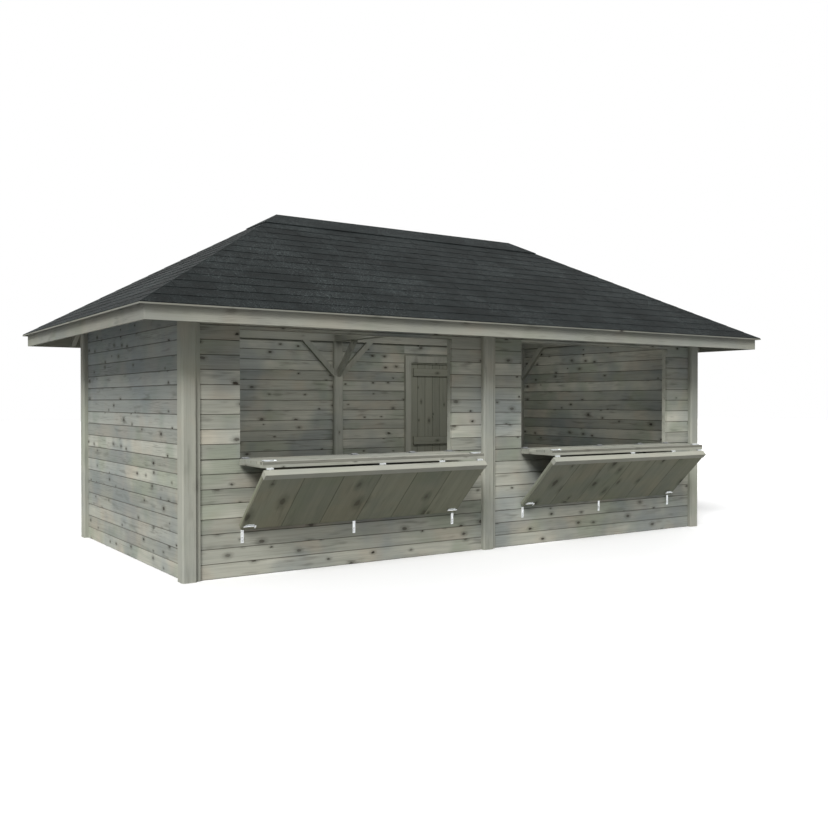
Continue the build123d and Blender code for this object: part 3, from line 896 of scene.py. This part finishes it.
def bar(solids, low, high, way, place, board, wide=None):
    """A squared timber between two corners, with its grain along one way, moved by a matrix.

    Where wide is given, the timber starts at 0 across its grain and its two edges are darkened like joints;
    on the door's ledges this darkening is painted shadow above and below each ledge."""
    order = {"X": (0, 2, 1), "Y": (1, 2, 0), "Z": (2, 0, 1)}[way]
    corners = [(low[0], low[1]), (high[0], low[1]), (high[0], high[1]), (low[0], high[1])]
    loops = [[Vector((x, y, z)) for x, y in corners] for z in (low[2], high[2])]
    inside = Vector((0, 0 if wide else SEAMLESS / 2, 0))
    grains = [[inside + Vector([point[axis] for axis in order]) for point in loop] for loop in loops]
    placed = [[place @ point for point in loop] for loop in loops]
    solids.add_prism(*placed, *grains, board, wide or SEAMLESS)


def cross_bars(solids, side, width, start, end, low, high, place):
    """Three bars across a leaf's frame, at its two sides and its middle."""
    wide = sizes().leaf_frame
    for share, tone in ((0.0, 0.3), (0.5, 0.6), (1.0, 0.5)):
        edge = side + (width - wide) * share
        bar(solids, (edge, start, low), (edge + wide, end, high), "Y", place, tone)


class HUT_OT_hatches(bpy.types.Operator):
    """Make the counters and the support leaves of boards on a frame"""

    bl_idname = "hut.hatches"
    bl_label = "Hatch leaves"
    bl_options = {"REGISTER", "UNDO"}

    def execute(self, context):
        for number, bay in enumerate(BAYS):
            self.build_counter(bay, sizes().seed + 60 + number)
            self.build_support(bay, sizes().seed + 70 + number)
        return {"FINISHED"}

    def build_counter(self, bay, seed):
        low, high = COUNTERS[bay]
        size = sizes()
        surface = material("counter boards")
        width = high.x - low.x
        depth = high.y - low.y
        board, wide = size.counter_board, size.leaf_frame
        middle = Matrix.Translation(((low.x + high.x) / 2, low.y, high.z - board / 2))
        lay_flat = middle @ Matrix.Rotation(-pi / 2, 4, "X")
        panel = board_panel(width, board, 0, depth, depth / 4, surface, seed, lay_flat, size.leaf_chamfer)
        solids = Solids()
        under = high.z - board
        still = Matrix.Identity(4)
        bar(solids, (low.x, low.y, low.z), (high.x, low.y + wide, under), "X", still, 0.7)
        bar(solids, (low.x, high.y - wide, low.z), (high.x, high.y, under), "X", still, 0.4)
        cross_bars(solids, low.x, width, low.y + wide, high.y - wide, low.z, under, still)
        piece = joined(f"{bay}_counter_boards", [panel, solids.to_object("rails", surface)])
        settle(piece, f"{bay}_counter_leaf", "hatch_boards", f"{bay}_counter")

    def build_support(self, bay, seed):
        low, high = SUPPORTS[bay]
        size = sizes()
        # Boards and rails take the darker leaf boards, as painted shade on the leaf's downward side; the
        # ledge at the top keeps the lighter leaf frames.
        surface = material("leaf boards")
        width = high.x - low.x
        half = width / 2
        # The leaf's own frame: X along the hut, Y down the leaf from its pin, Z off its hinge face
        pin, down, off = leaf_directions(bay)
        leaf = Matrix.Translation(pin) @ Matrix((
            (1, 0, 0, 0),
            (0, down.y, off.y, 0),
            (0, down.z, off.z, 0),
            (0, 0, 0, 1),
        ))
        hinge_face, face, start, end, ledge, ledge_top = leaf_sizes(bay)
        board, wide = size.leaf_board, size.leaf_frame
        # Boards are stacked along the hut and run down the leaf
        stand = leaf @ Matrix((
            (0, 0, 1, -half),
            (1, 0, 0, (start + ledge + end) / 2),
            (0, 1, 0, face - board / 2),
            (0, 0, 0, 1),
        ))
        length = end - start - ledge
        panel = board_panel(length, board, 0, width, width / 6, surface, seed, stand, size.leaf_chamfer)
        back = face - board
        top, rails = Solids(), Solids()
        bar(top, (-half, start, hinge_face), (half, start + ledge, ledge_top), "X", leaf, 0.8)
        bar(rails, (-half, end - wide, hinge_face), (half, end, back), "X", leaf, 0.4)
        cross_bars(rails, -half, width, start + ledge, end - wide, hinge_face, back, leaf)
        parts = [panel, rails.to_object("rails", surface), top.to_object("ledge", material("leaf frames"))]
        # The leaf's frame is left-handed, so the faces are turned outwards again
        for part in parts:
            part.data.flip_normals()
        piece = joined(f"{bay}_support_boards", parts)
        settle(piece, f"{bay}_support", "hatch_boards", f"{bay}_support_leaf")


def leaf_directions(bay):
    """The support leaf's pin, the way down the leaf from it and the way off its hinge face."""
    joint = JOINTS[f"{bay}_support_fold"]
    angle = radians(joint["range_deg"][1])
    down = Vector((0, -cos(angle), -sin(angle)))
    off = Vector((0, -sin(angle), cos(angle)))
    return Vector(joint["pos_m"]), down, off


def leaf_sizes(bay):
    """Hinge face, board face, start, end, ledge width and ledge face of the support leaf's node.

    All are distances from its pin, down the leaf or off it."""
    pin, down, off = leaf_directions(bay)
    points = [vertex.co - pin for vertex in NODES[f"{bay}_support_leaf"].data.vertices]
    points = [(point.dot(down), point.dot(off)) for point in points]
    start = min(along for along, _ in points)
    end = max(along for along, _ in points)
    ledge_top = max(out for _, out in points)
    face = max(out for along, out in points if along > end - TOUCH)
    ledge = max(along for along, out in points if out > ledge_top - TOUCH) - start
    return min(out for _, out in points), face, start, end, ledge, ledge_top


class HUT_OT_door(bpy.types.Operator):
    """Make the door of upright boards on three ledges"""

    bl_idname = "hut.door"
    bl_label = "Door"
    bl_options = {"REGISTER", "UNDO"}

    def execute(self, context):
        size = sizes()
        width = DOOR_HIGH.x - DOOR_LOW.x
        height = DOOR_HIGH.z - DOOR_LOW.z
        surface = material("door boards")
        cover = width / round(width / size.board_cover)
        # Boards stacked along X and running up
        stand = Matrix((
            (0, 0, 1, DOOR_LOW.x),
            (0, 1, 0, DOOR_HIGH.y - DOOR_BOARD / 2),
            (1, 0, 0, DOOR_LOW.z + height / 2),
            (0, 0, 0, 1),
        ))
        seed = size.seed + 80
        panel = board_panel(height, DOOR_BOARD, 0, width, cover, surface, seed, stand, size.leaf_chamfer)
        # This matrix mirrors too
        panel.data.flip_normals()
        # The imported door's inner faces are its ledges
        ledges = Solids()
        points = [vertex.co for vertex in NODES["door_leaf"].data.vertices]
        inner = [point for point in points if point.y < DOOR_LOW.y + TOUCH]
        heights = sorted({round(point.z, 4) for point in inner})
        sides = sorted({round(point.x, 4) for point in inner})
        for low, high in zip(heights[::2], heights[1::2]):
            near = (sides[0], DOOR_LOW.y, 0)
            far = (sides[-1], DOOR_HIGH.y - DOOR_BOARD, high - low)
            # Giving each ledge its height as its width darkens its upper and lower edges: painted shadow
            # above and below the ledge.
            bar(ledges, near, far, "X", Matrix.Translation((0, 0, low)), 0.5, high - low)
        piece = joined("door_boards", [panel, ledges.to_object("ledges", surface)])
        settle(piece, "door", "door_boards", "door_leaf")
        return {"FINISHED"}


class HUT_OT_trims(bpy.types.Operator):
    """Add the strip under the shingles at the eaves and the stop behind the door"""

    bl_idname = "hut.trims"
    bl_label = "Eaves strip and door stop"
    bl_options = {"REGISTER", "UNDO"}

    def execute(self, context):
        self.build_eaves_strip()
        self.build_door_stop()
        return {"FINISHED"}

    def build_eaves_strip(self):
        """A closed ring about the roofing's edge, from its outer to its inner corners, low and high."""
        heights = (ROOF_EDGE_TOP - 0.018, ROOF_EDGE_TOP - 0.006)
        spares = (0.0035, 0.0010)
        x, y = ROOF_RUN + RIDGE_HALF, ROOF_RUN
        corners = [(-1, -1), (1, -1), (1, 1), (-1, 1)]
        solids = Solids()
        solids.points = [
            (sx * (x + spare), sy * (y + spare), z) for z in heights for spare in spares for sx, sy in corners
        ]
        solids.grain = [(px + py, pz, 0) for px, py, pz in solids.points]
        solids.board = [0.5] * len(solids.points)
        solids.wide = [SEAMLESS] * len(solids.points)
        for index in range(4):
            after = (index + 1) % 4
            solids.faces += [
                [index, after, after + 8, index + 8],
                [after + 4, index + 4, index + 12, after + 12],
                [index + 8, after + 8, after + 12, index + 12],
                [after, index, index + 4, after + 4],
            ]
        settle(solids.to_object("eaves_strip", material("roof boards")), "hut", "fascia_boards")

    def build_door_stop(self):
        size = sizes()
        gap, wide = 0.005, size.stop_width
        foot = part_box("door_frame")[0].z
        back = DOOR_HIGH.y - DOOR_BOARD - gap
        front = back - size.stop_depth
        low, high = DOOR_LOW.x - gap, DOOR_HIGH.x + gap
        top = DOOR_HIGH.z + gap
        solids = Solids()
        still = Matrix.Identity(4)
        bar(solids, (low, front, foot), (low + wide, back, top), "Z", still, 0.6)
        bar(solids, (high - wide, front, foot), (high, back, top), "Z", still, 0.5)
        bar(solids, (low + wide, front, top - wide), (high - wide, back, top), "X", still, 0.4)
        settle(solids.to_object("door_stop", material("door boards")), "hut", "interior_timber")


def plate_regions(name, way):
    """The flat regions of a node that look one way: each one's middle, long and wide way, and half sizes."""
    mesh = bmesh.new()
    mesh.from_mesh(NODES[name].data)
    bmesh.ops.remove_doubles(mesh, verts=mesh.verts, dist=1e-5)
    mesh.faces.index_update()
    # Faces are held by number, so that the regions come in the same order in every run
    left = {face.index: face for face in mesh.faces if face.normal.dot(way) > 0.999}
    directions = (Vector((1, 0, 0)), way.cross((1, 0, 0)).normalized())
    regions = []
    while left:
        queue = [left.pop(min(left))]
        corners = []
        while queue:
            face = queue.pop()
            corners += [vert.co.copy() for vert in face.verts]
            for edge in face.edges:
                for other in edge.link_faces:
                    if other.index in left:
                        queue.append(left.pop(other.index))
        spans = [(direction, [corner.dot(direction) for corner in corners]) for direction in directions]
        spans.sort(key=lambda span: min(span[1]) - max(span[1]))
        (long_way, along), (wide_way, beside) = spans
        middle = long_way * (max(along) + min(along)) / 2 + wide_way * (max(beside) + min(beside)) / 2
        middle += way * corners[0].dot(way)
        half_length, half_width = ((max(places) - min(places)) / 2 for places in (along, beside))
        regions.append((middle, long_way, wide_way, half_length, half_width))
    mesh.free()
    return regions


def screw_places(half_length, half_width):
    """Places of the screws on a plate, from -1 to 1 along and across it."""
    smallest = (0.018, 0.008)
    if half_length < smallest[0] or half_width < smallest[1]:
        return []
    long_strap, spacing, narrow = 0.1, 0.055, 0.0145
    if half_length > long_strap:
        count = round(half_length / spacing)
        return [(-1 + 2 * step / (count - 1), 0) for step in range(count)]
    if half_width < narrow:
        return [(-1, 0), (1, 0)]
    return [(-1, -1), (1, -1), (1, 1), (-1, 1)]


class HUT_OT_screws(bpy.types.Operator):
    """Put screws in the hinges, bolts, hasps and straps"""

    bl_idname = "hut.screws"
    bl_label = "Screws"
    bl_options = {"REGISTER", "UNDO"}

    def execute(self, context):
        up = Vector((0, 0, 1))
        out = Vector((0, -1, 0))
        for bay in BAYS:
            off_leaf = leaf_directions(bay)[2]
            self.place(f"{bay}_counter_screws", f"{bay}_counter_leaf", [(f"{bay}_counter_fittings", up)])
            self.place(f"{bay}_support_screws", f"{bay}_support", [(f"{bay}_support_fittings", off_leaf)])
        on_wall = [("wall_fittings", out), ("wall_fittings", up), ("door_hinge_plates", -out)]
        self.place("wall_screws", "hut", on_wall)
        self.place("door_screws", "door", [("door_fittings", -out)])
        return {"FINISHED"}

    def place(self, name, body, sources):
        """Screws on the plates of some nodes, each node with the way that its plates look."""
        size = sizes()
        inset, sunk = 0.009, 0.0002
        points, aims = [], []
        for node, way in sources:
            for middle, long_way, wide_way, half_length, half_width in plate_regions(node, way):
                for along, beside in screw_places(half_length, half_width):
                    shift = long_way * along * (half_length - inset)
                    shift += wide_way * beside * (half_width - inset)
                    points.append(middle + shift + way * (size.screw_height / 2 - sunk))
                    aims += list(way)
        mesh = bpy.data.meshes.new(name)
        mesh.from_pydata(points, [], [])
        mesh.attributes.new("aim", "FLOAT_VECTOR", "POINT").data.foreach_set("vector", aims)
        screws = link_object(bpy.data.objects.new(name, mesh))
        run_tree(screws, bpy.data.node_groups["Screw heads"], {
            "Radius": size.screw_radius,
            "Height": size.screw_height,
            "Seed": size.seed,
            "Material": material("zinc steel"),
        })
        settle(screws, body, "zinc_steel")


# Stage

def plain_rays(graph):
    """1 for rays that see or mirror the background as plain white, and 0 for those that light the hut."""
    seen = graph.node("ShaderNodeLightPath", {}, {}, "Is Camera Ray")
    mirrored = [seen.also(name) for name in ("Is Glossy Ray", "Is Transmission Ray")]
    for ray in mirrored:
        seen = graph.math("MAXIMUM", seen, ray)
    return seen


def add_light(kind, name, energy, towards=None):
    """A lamp that shines straight down, or one way."""
    light = bpy.data.lights.new(name, kind)
    light.energy = energy
    lamp = link_object(bpy.data.objects.new(name, light))
    if towards:
        lamp.rotation_euler = Vector(towards).to_track_quat("-Z", "Y").to_euler()
    return lamp


class HUT_OT_stage(bpy.types.Operator):
    """Set up the floor, the lights, the world and the camera"""

    bl_idname = "hut.stage"
    bl_label = "Stage"
    bl_options = {"REGISTER", "UNDO"}

    def execute(self, context):
        self.build_floor()
        self.build_world()
        self.build_lights()
        self.build_camera()
        bpy.context.scene.view_settings.view_transform = "Standard"
        return {"FINISHED"}

    def build_floor(self):
        reach = 60.0
        corners = [(-reach, -reach, 0), (reach, -reach, 0), (reach, reach, 0), (-reach, reach, 0)]
        mesh = bpy.data.meshes.new("floor")
        mesh.from_pydata(corners, [], [(0, 1, 2, 3)])
        floor = link_object(bpy.data.objects.new("floor", mesh))
        surface, graph = new_material("floor")
        bounce = graph.node("ShaderNodeBsdfDiffuse", {}, {"Color": (0.32, 0.32, 0.32, 1)})
        plain = graph.node("ShaderNodeBsdfDiffuse", {}, {"Color": (1, 1, 1, 1)})
        both = graph.node("ShaderNodeMixShader", {}, {0: plain_rays(graph), 1: bounce, 2: plain})
        graph.node("ShaderNodeOutputMaterial", {}, {"Surface": both})
        mesh.materials.append(surface)

    def build_world(self):
        world = bpy.data.worlds.new("soft sky")
        world.use_nodes = True
        world.node_tree.nodes.clear()
        graph = Graph(world.node_tree)
        light = graph.node("ShaderNodeBackground", {}, {"Color": (1, 1, 1, 1), "Strength": 0.46})
        plain = graph.node("ShaderNodeBackground", {}, {"Color": (1, 1, 1, 1), "Strength": 1.0})
        both = graph.node("ShaderNodeMixShader", {}, {0: plain_rays(graph), 1: light, 2: plain})
        graph.node("ShaderNodeOutputWorld", {}, {"Surface": both})
        bpy.context.scene.world = world

    def build_lights(self):
        add_light("SUN", "soft sun", 3.15, (0.78, 0.70, -0.92)).data.angle = radians(26)
        add_light("SUN", "back fill", 0.95, (-0.55, -0.80, -0.62)).data.angle = radians(60)
        room = add_light("AREA", "room light", 33)
        room.data.shape = "RECTANGLE"
        room.data.size, room.data.size_y = 3.8, 0.7
        room.location = (0, 0, 2.65)
        room.visible_camera = False

    def build_camera(self):
        """The photo's viewpoint, found from the corners of the hut."""
        lens = bpy.data.cameras.new("camera")
        lens.lens = 40.27
        lens.sensor_width = 36.0
        lens.clip_end = 200.0
        camera = link_object(bpy.data.objects.new("camera", lens))
        camera.location = (-5.474, -8.410, 1.4035)
        camera.rotation_euler = Euler((radians(89.24), 0, radians(-33.80)))
        bpy.context.scene.camera = camera


class HUT_PT_panel(bpy.types.Panel):
    """The hut's sizes, colours and steps in the sidebar"""

    bl_idname = "HUT_PT_panel"
    bl_label = "Market hut"
    bl_space_type = "VIEW_3D"
    bl_region_type = "UI"
    bl_category = "Hut"

    def draw(self, context):
        for group in (context.scene.hut_sizes, context.scene.hut_colours):
            for name in group.bl_rna.properties.keys():
                if name not in ("rna_type", "name"):
                    self.layout.prop(group, name)
        for step in STEPS:
            self.layout.operator(step.bl_idname)


STEPS = (
    HUT_OT_trees,
    HUT_OT_frame_finish,
    HUT_OT_walls,
    HUT_OT_shingles,
    HUT_OT_roof_boards,
    HUT_OT_hatches,
    HUT_OT_door,
    HUT_OT_trims,
    HUT_OT_screws,
    HUT_OT_stage,
)
CLASSES = (HutSizes, HutColours, *STEPS, HUT_PT_panel)


def register():
    for item in CLASSES:
        bpy.utils.register_class(item)
    bpy.types.Scene.hut_sizes = PointerProperty(type=HutSizes)
    bpy.types.Scene.hut_colours = PointerProperty(type=HutColours)


def unregister():
    del bpy.types.Scene.hut_sizes
    del bpy.types.Scene.hut_colours
    for item in reversed(CLASSES):
        bpy.utils.unregister_class(item)


def main():
    register()
    for step in STEPS:
        group, name = step.bl_idname.split(".")
        getattr(getattr(bpy.ops, group), name)()


if __name__ == "__main__":
    main()
